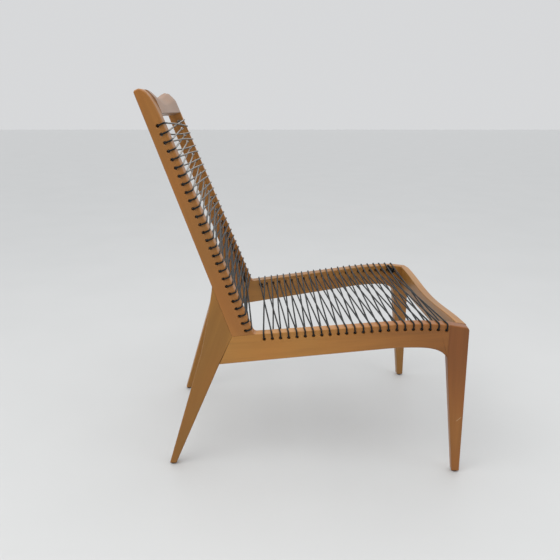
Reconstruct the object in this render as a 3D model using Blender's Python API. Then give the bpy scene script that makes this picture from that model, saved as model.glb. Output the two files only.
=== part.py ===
"""Armless wooden lounge chair, seat and back laced with cord.

Metres, +Z up. The chair faces -Y and stands on Z = 0, its origin under the middle of its box.
Right and left are the sitter's. Each side frame is drawn flat: u runs back along the frame from
its front edge, z runs up, and w runs inward from the outer face through the timber.
"""
from math import cos, floor, pi, radians, sin

import bmesh
import bpy
from mathutils import Matrix, Vector

RIGHT, LEFT = -1, 1
SIDE_NAMES = {RIGHT: "right", LEFT: "left"}

# Overall sizes
FRONT_WIDTH = 0.560         # outside the front legs
TOE_IN = radians(5.7)       # each side frame turns in towards the back
SEAT_FRONT_HEIGHT = 0.354   # top front corner of the side frame
SEAT_REAR_HEIGHT = 0.3308   # where the back rises from the seat
SEAT_DEPTH = 0.466          # front edge to the back, along the frame
BACK_HEIGHT = 0.850
BACK_LEAN = radians(21.58)  # front edge of the stile, from upright
REAR_FOOT_REACH = 0.6723    # front edge to the back of the rear foot

# Side frame timber
STOCK = 0.027               # thickness
FOOT_STOCK = 0.018          # thickness left at a foot
CHAMFER = 0.0025            # eased edges
TIP_CHAMFER = 0.0005        # left of it at the thin tip of a piece
TIP_SLOPE = 0.22            # and how fast it grows away from there
GAP = 0.0003                # between pieces that touch
STILE_FOOT = 0.0527         # length of the stile's joint on the rail
STILE_TOE = 0.005           # the toe of the stile runs this far forward of its front edge
STILE_FILLET = 0.010        # height of the toe's hollow
STILE_BACK_LEAN = radians(20.1)
LEG_RISE = 0.114            # how far the rear leg climbs the back of the stile
RAIL_DEPTH = 0.064          # at the back of the seat
MITRE_RUN = 0.030           # slope of the joint between rail and rear leg
BROW_RUN = 0.105            # the seat line bends down in front of this
BROW_RISE = 0.011           # height of that bend over the front corner
BROW_BEND = 0.085           # the bend begins this far behind it
LEG_WIDTH = 0.043           # front leg at the top
LEG_TOP_RISE = 0.0065       # back of the leg top over its front corner
ARCH_DEPTH = 0.048          # underside of the rail below the front corner
ARCH_RUN = 0.143            # where the underside turns level
ARCH_BEND = 0.040
ARCH_CORNER_RUN = 0.0104    # bracket curve into the front leg
ARCH_CORNER_DROP = 0.025
FRONT_FOOT_LENGTH = 0.0175
FRONT_FOOT_REACH = 0.004    # the front foot stands this far forward of the frame
REAR_FOOT_LENGTH = 0.0155
TOP_EASE = 0.004            # cut off the front leg's top front corner
CALF_REACH = 0.0823         # the bend in the rear leg's back, forward of its heel
CALF_HEIGHT = 0.280
HIP_REACH = 0.019           # corner of the curve from that bend to the leg's head
HIP_RISE = 0.082
CROWN_RADIUS = 0.057        # how far down the stile its rounded top starts
CROWN_FALL = 0.0045         # the top drops this far to its back corner
CROWN_FLAT = 0.0115         # level run at the top, in front of that corner

# Cross rails
CREST_DEPTH = 0.048
CREST_STOCK = 0.022
CREST_DIP = 0.014
CREST_TOP_DROP = 0.001      # its top below the stile's
CREST_TOP_SET = 0.010       # its top edge behind the line of the stile's front
CREST_BROW_DROP = 0.018     # where its front face ends, below the stile's top
CREST_BACK_DROP = 0.0015
FRONT_RAIL_STOCK = 0.023
FRONT_RAIL_DEPTH = 0.059
FRONT_RAIL_DIP = 0.013
FRONT_RAIL_SETBACK = 0.001
REAR_RAIL_STOCK = 0.018
REAR_RAIL_DEPTH = 0.044
REAR_RAIL_INSET = 0.026     # its middle behind the joint of stile and rear leg
REAR_RAIL_RISE = 0.024      # its middle above the foot of that joint

# Dowels
DOWEL = 0.008               # diameter, cross rails
DOWEL_HALF = 0.015          # length in each piece
FRAME_DOWEL = 0.006         # diameter, side frames
FRAME_DOWEL_HALF = 0.011
CREST_DOWELS = (0.012, 0.032)       # up from the underside of the crest rail
FRONT_RAIL_DOWELS = (0.014, 0.040)  # up from the underside of the front rail
REAR_RAIL_DOWELS = (-0.011, 0.011)  # from the middle of the rear rail

# Lacing
CORD = 0.0036               # diameter
HOLE = 0.007                # diameter
BORE_OVER = 0.002           # a bore is cut this far past each face
HOLE_INSET = 0.013          # hole centre to the edge that the cord goes over
PITCH = 0.01815
SEAT_FIRST = 0.018          # first seat hole, in front of the back
SEAT_LAST = 0.0055          # last seat hole, behind the leg joint
BACK_FIRST = 0.0215         # first back hole, below the crest rail
BACK_LAST = 0.0125          # last back hole, above the seat
CORD_STANDOFF = 0.0006      # cord surface to the wood it goes round
CORD_CLEARANCE = 0.0003     # between two cords, to each side of their middle line
TURN_REACH = 0.001          # the cord turns this far from a face
CROWDED = 0.6               # of a pitch: no hole nearer than this to the last one
STOP_KNOT = 0.0105
TIE_KNOT = 0.020
TIE_STANDOFF = 0.0025       # tie knot to the wood

# Glides
GLIDE = 0.013
GLIDE_HEIGHT = 0.003
GLIDE_EASE = 0.001
GLIDE_SIDES = 12
GLIDE_PIN = 0.0025
GLIDE_PIN_LENGTH = 0.012

CURVE_STEPS = 4
ROUND_SIDES = 8


def plane(u, z):
    return Vector((u, z))


def bend(start, corner, end, steps=CURVE_STEPS):
    """Points of a parabola from start to end, tangent to both arms of the corner, start left out."""
    points = []
    for step in range(1, steps + 1):
        f = step / steps
        points.append(start * (1 - f) ** 2 + corner * 2 * f * (1 - f) + end * f ** 2)
    return points


def on_line(a, b, u):
    """The point of the line a-b at u."""
    return a.lerp(b, (u - a.x) / (b.x - a.x))


# Points of the side frame, in its plane

SEAT_CORNER = plane(SEAT_DEPTH, SEAT_REAR_HEIGHT)
BROW = plane(BROW_RUN, SEAT_FRONT_HEIGHT + BROW_RISE)
BROW_START = on_line(SEAT_CORNER, BROW, BROW_RUN + BROW_BEND)
LEG_TOP = plane(LEG_WIDTH, SEAT_FRONT_HEIGHT + LEG_TOP_RISE)
ARCH = plane(ARCH_RUN, SEAT_FRONT_HEIGHT - ARCH_DEPTH)
RAIL_UNDER = plane(SEAT_DEPTH, SEAT_REAR_HEIGHT - RAIL_DEPTH)
TRIPLE = SEAT_CORNER + (RAIL_UNDER - ARCH).normalized() * STILE_FOOT
MITRE_END = on_line(ARCH, RAIL_UNDER, TRIPLE.x + MITRE_RUN)
ARCH_START = on_line(ARCH, RAIL_UNDER, ARCH_RUN + ARCH_BEND)
ARCH_LEVEL = ARCH - plane(ARCH_BEND, 0)
ARCH_CORNER = plane(LEG_WIDTH + ARCH_CORNER_RUN, ARCH.y)
ARCH_END = plane(LEG_WIDTH, ARCH.y - ARCH_CORNER_DROP)

STILE_BASE = SEAT_CORNER + plane(STILE_TOE, 0)
STILE_UP = plane(sin(BACK_LEAN), cos(BACK_LEAN))
STILE_BACKWARD = plane(cos(BACK_LEAN), -sin(BACK_LEAN))
STILE_BACK_UP = plane(sin(STILE_BACK_LEAN), cos(STILE_BACK_LEAN))
LEG_HEAD = TRIPLE + STILE_BACK_UP * (LEG_RISE / cos(STILE_BACK_LEAN))
STILE_TAIL = TRIPLE + STILE_BACK_UP * ((BACK_HEIGHT - CROWN_FALL - TRIPLE.y) / cos(STILE_BACK_LEAN))


def stile_front(height):
    """The point of the stile's front edge at this height."""
    return STILE_BASE + STILE_UP * ((height - STILE_BASE.y) / STILE_UP.y)


def seat_edge():
    """The top edge of the side rail, from the back to the leg joint."""
    return [SEAT_CORNER, BROW_START] + bend(BROW_START, BROW, LEG_TOP)


TIPS = (SEAT_CORNER, ARCH_END, LEG_HEAD)
FRAME_REACH = STILE_TAIL.x
FOOT_FRONT = (1 - CHAMFER / STOCK) * FOOT_STOCK * sin(TOE_IN) + FRONT_FOOT_REACH * cos(TOE_IN)
TAIL_BACK = FRAME_REACH * cos(TOE_IN) - CHAMFER * sin(TOE_IN)
FRONT_Y = (FOOT_FRONT - TAIL_BACK) / 2


# Materials

def material(name, colour, roughness, metallic=0.0):
    made = bpy.data.materials.new(name)
    made.use_nodes = True
    shader = made.node_tree.nodes["Principled BSDF"]
    shader.inputs["Base Color"].default_value = (*colour, 1.0)
    shader.inputs["Roughness"].default_value = roughness
    shader.inputs["Metallic"].default_value = metallic
    return made


# Placing

def side_matrix(side):
    """From frame coordinates (-side * w, u, z) to the chair's."""
    corner = Matrix.Translation((side * FRONT_WIDTH / 2, FRONT_Y, 0))
    return corner @ Matrix.Rotation(side * TOE_IN, 4, "Z")


def flat(side, w, point):
    """A point in the coordinates of a side frame."""
    return Vector((-side * w, point.x, point.y))


def world(side, w, point):
    return side_matrix(side) @ flat(side, w, point)


def add_object(name, data, colour, parent=None):
    made = bpy.data.objects.new(name, data)
    bpy.context.collection.objects.link(made)
    made.data.materials.append(material(name, *colour))
    made.parent = parent
    return made


def to_mesh(name, bm):
    bmesh.ops.recalc_face_normals(bm, faces=bm.faces)
    if bm.calc_volume(signed=True) < 0:
        bmesh.ops.reverse_faces(bm, faces=bm.faces)
    mesh = bpy.data.meshes.new(name)
    bm.to_mesh(mesh)
    bm.free()
    return mesh


# Rods, for dowels, holes and bores

def add_rod(bm, start, end, radius, sides=ROUND_SIDES):
    axis = end - start
    turn = axis.to_track_quat("Z", "Y").to_matrix().to_4x4()
    place = Matrix.Translation((start + end) / 2) @ turn
    bmesh.ops.create_cone(
        bm, cap_ends=True, segments=sides, radius1=radius, radius2=radius,
        depth=axis.length, matrix=place)


def cut(target, rods, parent=None):
    """Cuts (start, end, radius) rods out of the target."""
    bm = bmesh.new()
    for start, end, radius in rods:
        add_rod(bm, start, end, radius)
    cutter = bpy.data.objects.new(target.name + "_cutter", to_mesh(target.name + "_cutter", bm))
    bpy.context.collection.objects.link(cutter)
    cutter.parent = parent
    cutter.hide_render = True
    cutter.display_type = "WIRE"
    modifier = target.modifiers.new("holes", "BOOLEAN")
    modifier.object = cutter
    modifier.solver = "EXACT"


# Flat pieces of the side frames

def chamfer_at(point):
    """The chamfer's size here: less near the thin tips of the pieces."""
    return min(CHAMFER, TIP_CHAMFER + TIP_SLOPE * min((point - tip).length for tip in TIPS))


def inset(outline, share):
    """The outline's points moved in: free edges by a share of the chamfer, joint edges by half
    the gap. The outline is (point, is_joint) pairs, where is_joint is about the edge that
    leaves the point, anticlockwise in (u, z)."""
    count = len(outline)
    points = []
    for i, (point, is_joint) in enumerate(outline):
        run_in = (point - outline[i - 1][0]).normalized()
        run_out = (outline[(i + 1) % count][0] - point).normalized()
        normal_in = plane(-run_in.y, run_in.x)
        normal_out = plane(-run_out.y, run_out.x)
        free = chamfer_at(point) * share
        move_in = GAP / 2 if outline[i - 1][1] else free
        move_out = GAP / 2 if is_joint else free
        cross = normal_in.x * normal_out.y - normal_in.y * normal_out.x
        if abs(cross) < 0.02:
            moved = (normal_in + normal_out).normalized() * max(move_in, move_out)
        else:
            moved = plane(move_in * normal_out.y - move_out * normal_in.y,
                          move_out * normal_in.x - move_in * normal_out.x) / cross
        points.append(point + moved)
    return points


def add_plank(name, side, outline, parent, colour, taper_from=None):
    """A flat piece with eased edges everywhere but at its joints. Below taper_from it thins
    from its inner face to FOOT_STOCK."""
    face, edge = inset(outline, 1.0), inset(outline, 0.0)
    rings = [(0.0, face), (CHAMFER, edge), (STOCK - CHAMFER, edge), (STOCK, face)]
    bm = bmesh.new()
    loops = [[bm.verts.new(flat(side, w, p)) for p in points] for w, points in rings]
    bm.faces.new(loops[0])
    bm.faces.new(list(reversed(loops[-1])))
    for a, b in zip(loops, loops[1:]):
        for i in range(len(a)):
            j = (i + 1) % len(a)
            bm.faces.new((a[i], b[i], b[j], a[j]))
    if taper_from:
        everything = bm.verts[:] + bm.edges[:] + bm.faces[:]
        bmesh.ops.bisect_plane(
            bm, geom=everything, dist=1e-6, plane_co=(0, 0, taper_from), plane_no=(0, 0, 1))
        for vert in bm.verts:
            below = max(0.0, (taper_from - vert.co.z) / (taper_from - GLIDE_HEIGHT))
            vert.co.x *= 1 - (1 - FOOT_STOCK / STOCK) * below
    return add_object(name, to_mesh(name, bm), colour, parent)


def stile_outline():
    fillet_top = STILE_BASE + STILE_UP * STILE_FILLET
    crown_start = stile_front(BACK_HEIGHT - CROWN_RADIUS)
    crown_end = plane(STILE_TAIL.x - CROWN_FLAT, BACK_HEIGHT)
    crown = bend(crown_start, stile_front(BACK_HEIGHT), crown_end)
    outline = [(SEAT_CORNER, True), (TRIPLE, True), (LEG_HEAD, False), (STILE_TAIL, False)]
    outline += [(p, False) for p in reversed(crown)]
    outline += [(crown_start, False), (fillet_top, False)]
    outline += [(p, False) for p in bend(fillet_top, STILE_BASE, SEAT_CORNER, 3)[:-1]]
    return outline


def rail_outline():
    under = bend(ARCH_END, ARCH_CORNER, ARCH_LEVEL) + bend(ARCH_LEVEL, ARCH, ARCH_START)
    outline = [(ARCH_END, False)] + [(p, False) for p in under]
    outline += [(MITRE_END, True), (TRIPLE, True)]
    top = seat_edge()
    outline += [(p, False) for p in top[:-1]]
    outline.append((LEG_TOP, True))
    return outline


def front_leg_outline():
    toe = plane(-FRONT_FOOT_REACH, GLIDE_HEIGHT)
    top = plane(0, SEAT_FRONT_HEIGHT)
    return [
        (toe, False),
        (toe + plane(FRONT_FOOT_LENGTH, 0), False),
        (ARCH_END, True),
        (LEG_TOP, False),
        (on_line(top, LEG_TOP, TOP_EASE), False),
        (top.lerp(toe, TOP_EASE / SEAT_FRONT_HEIGHT), False)]


def rear_leg_outline():
    heel = plane(REAR_FOOT_REACH, GLIDE_HEIGHT)
    calf = plane(REAR_FOOT_REACH - CALF_REACH, CALF_HEIGHT)
    back = bend(calf, calf + plane(-HIP_REACH, HIP_RISE), LEG_HEAD)
    outline = [(heel - plane(REAR_FOOT_LENGTH, 0), False), (heel, False), (calf, False)]
    outline += [(p, False) for p in back[:-1]]
    outline += [(LEG_HEAD, True), (TRIPLE, True), (MITRE_END, False)]
    return outline


# Cross rails

def inner_x(side, y):
    """Where the inner face of a side frame lies at y, with the gap."""
    return side * (FRONT_WIDTH / 2 - (STOCK + GAP + (y - FRONT_Y) * sin(TOE_IN)) / cos(TOE_IN))


def add_cross_rail(name, section, colour, dip=0.0, dipping=(), eased=(), stations=9):
    """A rail between the side frames. The section is points (y, z), anticlockwise seen from +X.
    The points numbered in dipping sink by dip in the middle, along a half wave."""
    bm = bmesh.new()
    middle_y = sum(p.x for p in section) / len(section)
    middle_z = sum(p.y for p in section) / len(section)
    rings = []
    for station in range(stations):
        f = station / (stations - 1)
        sink = dip * (1 + cos(pi * (2 * f - 1))) / 2
        ring = []
        for number, point in enumerate(section):
            x = inner_x(RIGHT, point.x) * (1 - f) + inner_x(LEFT, point.x) * f
            z = point.y - (sink if number in dipping else 0.0)
            ring.append(bm.verts.new((x, point.x - middle_y, z - middle_z)))
        rings.append(ring)
    bm.faces.new(rings[0])
    bm.faces.new(list(reversed(rings[-1])))
    weight = bm.edges.layers.float.new("bevel_weight_edge")
    for a, b in zip(rings, rings[1:]):
        for i in range(len(section)):
            j = (i + 1) % len(section)
            bm.faces.new((a[i], b[i], b[j], a[j]))
            if i in eased:
                bm.edges.get((a[i], b[i]))[weight] = 1.0
    rail = add_object(name, to_mesh(name, bm), colour)
    rail.location = (0, middle_y, middle_z)
    ease = rail.modifiers.new("eased edges", "BEVEL")
    ease.limit_method = "WEIGHT"
    ease.width = CHAMFER
    ease.segments = 1
    ease.use_clamp_overlap = False
    return rail


def section_point(point):
    """A point of the side frame's plane as a cross rail's (y, z), on the frame's inner face."""
    return Vector((FRONT_Y + point.x * cos(TOE_IN) - STOCK * sin(TOE_IN), point.y))


def crest_section():
    low = stile_front(BACK_HEIGHT - CREST_DEPTH)
    low_back = low + STILE_BACKWARD * CREST_STOCK
    brow = stile_front(BACK_HEIGHT - CREST_BROW_DROP)
    top = plane(stile_front(BACK_HEIGHT).x + CREST_TOP_SET, BACK_HEIGHT - CREST_TOP_DROP)
    behind = low_back + STILE_UP * ((BACK_HEIGHT - CREST_BACK_DROP - low_back.y) / STILE_UP.y)
    return [section_point(p) for p in (low, low_back, behind, top, brow)]


def front_rail_section():
    front = FRONT_RAIL_SETBACK
    back = front + FRONT_RAIL_STOCK
    bottom = SEAT_FRONT_HEIGHT - FRONT_RAIL_DEPTH
    top_line = (plane(0, SEAT_FRONT_HEIGHT), LEG_TOP)
    corners = [plane(front, bottom), plane(back, bottom),
               on_line(*top_line, back), on_line(*top_line, front)]
    return [section_point(p) for p in corners]


def rear_rail_middle():
    return TRIPLE + STILE_BACK_UP * REAR_RAIL_RISE + joint_normal(TRIPLE, LEG_HEAD) * REAR_RAIL_INSET


def rear_rail_section():
    middle = rear_rail_middle()
    up = STILE_BACK_UP * (REAR_RAIL_DEPTH / 2)
    out = joint_normal(TRIPLE, LEG_HEAD) * (REAR_RAIL_STOCK / 2)
    return [section_point(p) for p in (middle - up - out, middle - up + out,
                                       middle + up + out, middle + up - out)]


# Dowels

def joint_normal(a, b):
    """Square to the line a-b, to its right."""
    run = (b - a).normalized()
    return plane(run.y, -run.x)


def frame_dowels():
    """(name, pieces, start, end) of the dowels in a side frame, all in the timber's middle."""
    def across(name, pieces, a, b, share):
        middle = a.lerp(b, share)
        reach = joint_normal(a, b) * FRAME_DOWEL_HALF
        return (name, pieces, middle - reach, middle + reach)
    return [
        across("stile_leg_dowel_1", ("stile", "rear_leg"), TRIPLE, LEG_HEAD, 0.26),
        across("stile_leg_dowel_2", ("stile", "rear_leg"), TRIPLE, LEG_HEAD, 0.58),
        across("stile_rail_dowel", ("stile", "side_rail"), SEAT_CORNER, TRIPLE, 0.76),
        across("rail_leg_dowel_1", ("side_rail", "rear_leg"), TRIPLE, MITRE_END, 0.35),
        across("rail_leg_dowel_2", ("side_rail", "rear_leg"), TRIPLE, MITRE_END, 0.72),
        across("front_joint_dowel_1", ("side_rail", "front_leg"), LEG_TOP, ARCH_END, 0.36),
        across("front_joint_dowel_2", ("side_rail", "front_leg"), LEG_TOP, ARCH_END, 0.66)]


def cross_dowels():
    """(name, side piece, cross rail, point) of the dowels that run inward from a side frame."""
    crest_low = stile_front(BACK_HEIGHT - CREST_DEPTH) + STILE_BACKWARD * (CREST_STOCK / 2)
    front_low = plane(FRONT_RAIL_SETBACK + FRONT_RAIL_STOCK / 2, SEAT_FRONT_HEIGHT - FRONT_RAIL_DEPTH)
    rear = rear_rail_middle()
    rows = [("crest", "stile", crest_low, STILE_UP, CREST_DOWELS),
            ("front", "front_leg", front_low, plane(0, 1), FRONT_RAIL_DOWELS),
            ("rear", "rear_leg", rear, STILE_BACK_UP, REAR_RAIL_DOWELS)]
    dowels = []
    for label, piece, start, up, steps in rows:
        stem = label if label == "crest" else label + "_rail"
        for number, step in enumerate(steps, 1):
            dowels.append(("%s_dowel_%d" % (stem, number), piece, label + "_rail", start + up * step))
    return dowels


def add_dowel(name, start, end, diameter):
    middle = (start + end) / 2
    bm = bmesh.new()
    add_rod(bm, start - middle, end - middle, diameter / 2)
    dowel = add_object(name, to_mesh(name, bm), DOWEL_COLOUR)
    dowel.location = middle
    return dowel


# Lacing

def edge_height(u):
    """Height and upward normal of the seat edge at u."""
    points = seat_edge()
    for a, b in zip(points, points[1:]):
        if b.x <= u <= a.x:
            normal = joint_normal(b, a) * -1
            return on_line(a, b, u).y, normal
    raise ValueError("no seat edge at this place")


def seat_holes():
    """(hole centre, direction to the edge), from the back of the seat to its front."""
    last = LEG_WIDTH + SEAT_LAST
    places = []
    u = SEAT_DEPTH - SEAT_FIRST
    while u > last + CROWDED * PITCH:
        places.append(u)
        u -= PITCH
    places.append(last)
    holes = []
    for u in places:
        height, normal = edge_height(u)
        holes.append((plane(u, height) - normal * HOLE_INSET, normal))
    return holes


def back_holes():
    """(hole centre, direction to the edge), from the top of the back to its bottom."""
    first = (BACK_HEIGHT - CREST_DEPTH - STILE_BASE.y) / STILE_UP.y - BACK_FIRST
    count = floor((first - BACK_LAST) / PITCH) + 1
    holes = []
    for number in range(count):
        edge = STILE_BASE + STILE_UP * (first - number * PITCH)
        holes.append((edge + STILE_BACKWARD * HOLE_INSET, STILE_BACKWARD * -1))
    return holes


def wrap(side, hole):
    """The cord's way round one hole: over the edge, down the outer face and in to the hole."""
    centre, to_edge = hole
    stand = CORD / 2 + CORD_STANDOFF
    over = centre + to_edge * (HOLE_INSET + stand)
    mouth = centre + to_edge * (HOLE / 2 - stand)
    return [
        world(side, STOCK - TURN_REACH, over),
        world(side, -stand, over),
        world(side, -stand, mouth),
        world(side, STOCK + TURN_REACH, centre)]


def crossing_point(start, end, lift):
    """The middle of a span, moved square to the plane that it and its mirror image lie in, where
    the panel's other cord crosses it."""
    run = end - start
    square = Vector((0, -run.z, run.y)).normalized()
    if square.z < 0:
        square.negate()
    return (start + end) / 2 + square * lift


def lace(name, holes, first_side, lift, tie_side, colour):
    """One of the two cords of a panel. It starts at a stop knot inside the first hole of
    first_side, zigzags across a hole at a time, and ends at the tie inside the last holes."""
    points = []
    side = first_side
    for number, hole in enumerate(holes):
        way = wrap(side, hole)
        if number == 0:
            way = list(reversed(way))
            way[0] = world(side, STOCK, hole[0])
        else:
            points.append(crossing_point(points[-1], way[0], lift))
        points += way
        side = -side
    last_side, last_hole = -side, holes[-1][0]
    if last_side == tie_side:
        points[-1] = world(tie_side, STOCK + TIE_STANDOFF, last_hole)
    else:
        points.append(world(tie_side, STOCK + TIE_STANDOFF + TIE_KNOT + 2 * GAP, last_hole))
    curve = bpy.data.curves.new(name, "CURVE")
    curve.dimensions = "3D"
    curve.bevel_depth = CORD / 2
    curve.bevel_resolution = 1
    curve.use_fill_caps = True
    spline = curve.splines.new("POLY")
    spline.points.add(len(points) - 1)
    for slot, point in zip(spline.points, points):
        slot.co = (*point, 1.0)
    return add_object(name, curve, colour)


def add_knot(name, side, hole, start, size, colour):
    """A knot on the inner side of a hole, as a plain rounded lump."""
    bm = bmesh.new()
    bmesh.ops.create_icosphere(bm, subdivisions=1, radius=size / 2)
    knot = add_object(name, to_mesh(name, bm), colour)
    knot.matrix_world = Matrix.Translation(world(side, start + size / 2, hole[0]))
    return knot


def add_lacing(panel, holes):
    for number, side in ((1, RIGHT), (2, LEFT)):
        lift = (CORD / 2 + CORD_CLEARANCE) * (1 if side == RIGHT else -1)
        lace("%s_cord_%d" % (panel, number), holes, side, lift, LEFT, CORD_COLOUR)
        name = "%s_stop_knot_%s" % (panel, SIDE_NAMES[side])
        add_knot(name, side, holes[0], STOCK + 2 * GAP, STOP_KNOT, CORD_COLOUR)
    add_knot(panel + "_tie_knot", LEFT, holes[-1], STOCK + TIE_STANDOFF + GAP, TIE_KNOT, CORD_COLOUR)


# Glides

def add_glide(name, side, foot, parent):
    """A nailed glide: a round pad with its pin standing up into the foot."""
    w = FOOT_STOCK / 2
    bm = bmesh.new()
    profile = [(0.0, 0.0), (GLIDE / 2 - GLIDE_EASE, 0.0), (GLIDE / 2, GLIDE_EASE),
               (GLIDE / 2, GLIDE_HEIGHT - GAP), (GLIDE_PIN / 2, GLIDE_HEIGHT - GAP),
               (GLIDE_PIN / 2, GLIDE_HEIGHT + GLIDE_PIN_LENGTH), (0.0, GLIDE_HEIGHT + GLIDE_PIN_LENGTH)]
    verts = [bm.verts.new((r, 0, z)) for r, z in profile]
    edges = [bm.edges.new(pair) for pair in zip(verts, verts[1:])]
    bmesh.ops.spin(bm, geom=verts + edges, axis=(0, 0, 1), cent=(0, 0, 0), steps=GLIDE_SIDES,
                   angle=2 * pi)
    bmesh.ops.remove_doubles(bm, verts=bm.verts, dist=1e-6)
    glide = add_object(name, to_mesh(name, bm), GLIDE_COLOUR, parent)
    glide.location = flat(side, w, plane(foot, 0))
    return glide


# Assembly

WOOD_COLOUR = ((0.38, 0.18, 0.055), 0.38)
LEG_COLOUR = ((0.31, 0.13, 0.045), 0.38)
CREST_COLOUR = ((0.40, 0.22, 0.09), 0.38)
DOWEL_COLOUR = ((0.52, 0.34, 0.17), 0.6)
CORD_COLOUR = ((0.02, 0.02, 0.022), 0.42)
GLIDE_COLOUR = ((0.03, 0.028, 0.026), 0.4)


def build_side(side):
    name = SIDE_NAMES[side]
    frame = bpy.data.objects.new("side_frame_" + name, None)
    bpy.context.collection.objects.link(frame)
    frame.matrix_world = side_matrix(side)
    pieces = {
        "stile": add_plank("stile_" + name, side, stile_outline(), frame, WOOD_COLOUR),
        "side_rail": add_plank("side_rail_" + name, side, rail_outline(), frame, WOOD_COLOUR),
        "front_leg": add_plank("front_leg_" + name, side, front_leg_outline(), frame, LEG_COLOUR,
                               ARCH_END.y),
        "rear_leg": add_plank("rear_leg_" + name, side, rear_leg_outline(), frame, WOOD_COLOUR,
                              MITRE_END.y)}
    bores = {piece: [] for piece in pieces}
    for panel, piece in ((seat_holes(), "side_rail"), (back_holes(), "stile")):
        for centre, _ in panel:
            start, end = flat(side, -BORE_OVER, centre), flat(side, STOCK + BORE_OVER, centre)
            bores[piece].append((start, end, HOLE / 2))
    for label, joined, start, end in frame_dowels():
        ends = [flat(side, STOCK / 2, p) for p in (start, end)]
        add_dowel("%s_%s" % (label, name), *[side_matrix(side) @ p for p in ends], FRAME_DOWEL)
        for piece in joined:
            bores[piece].append(lengthened(*ends, FRAME_DOWEL))
    rail_bores = {"crest_rail": [], "front_rail": [], "rear_rail": []}
    for label, piece, rail, point in cross_dowels():
        ends = [flat(side, STOCK - DOWEL_HALF, point), flat(side, STOCK + DOWEL_HALF, point)]
        placed = [side_matrix(side) @ p for p in ends]
        add_dowel("%s_%s" % (label, name), *placed, DOWEL)
        bores[piece].append(lengthened(*ends, DOWEL))
        rail_bores[rail].append(lengthened(*placed, DOWEL))
    for piece, foot in (("front_leg", FRONT_FOOT_LENGTH / 2 - FRONT_FOOT_REACH),
                        ("rear_leg", REAR_FOOT_REACH - REAR_FOOT_LENGTH / 2)):
        add_glide("glide_%s_%s" % (piece.split("_")[0], name), side, foot, frame)
        pin = [flat(side, FOOT_STOCK / 2, plane(foot, z))
               for z in (0.0, GLIDE_HEIGHT + GLIDE_PIN_LENGTH + GAP)]
        bores[piece].append((*pin, GLIDE_PIN / 2 + GAP))
    for piece, plank in pieces.items():
        cut(plank, bores[piece], frame)
    return rail_bores


def lengthened(start, end, diameter):
    """The bore for a dowel, wider and longer by the gap."""
    along = (end - start).normalized() * GAP
    return (start - along, end + along, diameter / 2 + GAP)


def build_cross_rails(bores):
    crest = add_cross_rail("crest_rail", crest_section(), CREST_COLOUR, CREST_DIP,
                           dipping=(2, 3, 4), eased=(0, 1, 2), stations=13)
    front = add_cross_rail("front_rail", front_rail_section(), WOOD_COLOUR, FRONT_RAIL_DIP,
                           dipping=(2, 3), eased=(0, 1, 2, 3))
    rear = add_cross_rail("rear_rail", rear_rail_section(), WOOD_COLOUR, eased=(0, 1, 2, 3), stations=2)
    for rail in (crest, front, rear):
        cut(rail, bores[rail.name])


def build():
    for old in list(bpy.data.objects):
        bpy.data.objects.remove(old)
    right, left = build_side(RIGHT), build_side(LEFT)
    build_cross_rails({rail: right[rail] + left[rail] for rail in right})
    add_lacing("seat", seat_holes())
    add_lacing("back", back_holes())


build()
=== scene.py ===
"""Looks for the laced lounge chair: eased timber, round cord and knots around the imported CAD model.

Metres. The side frames are drawn flat, as in the CAD model: u runs back along the frame from its
front edge, z runs up, and w runs inward from the outer face. Right and left are the sitter's.
"""
import random
from math import cos, floor, pi, radians, sin

import bmesh
import bpy
from mathutils import Matrix, Vector

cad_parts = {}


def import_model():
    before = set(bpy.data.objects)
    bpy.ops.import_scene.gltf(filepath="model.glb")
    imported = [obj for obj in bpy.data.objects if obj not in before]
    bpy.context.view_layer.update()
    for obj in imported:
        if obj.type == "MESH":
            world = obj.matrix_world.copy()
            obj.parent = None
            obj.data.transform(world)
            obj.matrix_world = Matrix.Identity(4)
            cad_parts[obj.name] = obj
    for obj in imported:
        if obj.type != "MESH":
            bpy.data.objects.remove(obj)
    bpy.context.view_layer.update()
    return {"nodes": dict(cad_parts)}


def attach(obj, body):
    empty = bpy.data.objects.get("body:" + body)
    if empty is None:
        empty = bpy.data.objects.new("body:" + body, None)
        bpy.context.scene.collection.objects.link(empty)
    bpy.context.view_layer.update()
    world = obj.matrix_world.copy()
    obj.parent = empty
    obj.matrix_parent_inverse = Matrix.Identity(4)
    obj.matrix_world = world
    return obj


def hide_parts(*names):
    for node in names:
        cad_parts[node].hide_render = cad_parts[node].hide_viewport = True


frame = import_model()

RIGHT, LEFT = -1, 1
SIDE_NAMES = {RIGHT: "right", LEFT: "left"}
BODY = "root"

# The CAD model's sizes
FRONT_WIDTH = 0.560
TOE_IN = radians(5.7)
SEAT_FRONT_HEIGHT = 0.354
SEAT_REAR_HEIGHT = 0.3308
SEAT_DEPTH = 0.466
BACK_HEIGHT = 0.850
BACK_LEAN = radians(21.58)
REAR_FOOT_REACH = 0.6723
STOCK = 0.027
FOOT_STOCK = 0.018
GAP = 0.0003
STILE_FOOT = 0.0527
STILE_TOE = 0.005
STILE_FILLET = 0.010
STILE_BACK_LEAN = radians(20.1)
LEG_RISE = 0.114
RAIL_DEPTH = 0.064
MITRE_RUN = 0.030
BROW_RUN = 0.105
BROW_RISE = 0.011
BROW_BEND = 0.085
LEG_WIDTH = 0.043
LEG_TOP_RISE = 0.0065
ARCH_DEPTH = 0.048
ARCH_RUN = 0.143
ARCH_BEND = 0.040
ARCH_CORNER_RUN = 0.0104
ARCH_CORNER_DROP = 0.025
FRONT_FOOT_LENGTH = 0.0175
FRONT_FOOT_REACH = 0.004
REAR_FOOT_LENGTH = 0.0155
CALF_REACH = 0.0823
CALF_HEIGHT = 0.280
HIP_REACH = 0.019
HIP_RISE = 0.082
CROWN_RADIUS = 0.057
CROWN_FALL = 0.0045
CROWN_FLAT = 0.0115
CREST_DEPTH = 0.048
CREST_STOCK = 0.022
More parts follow.
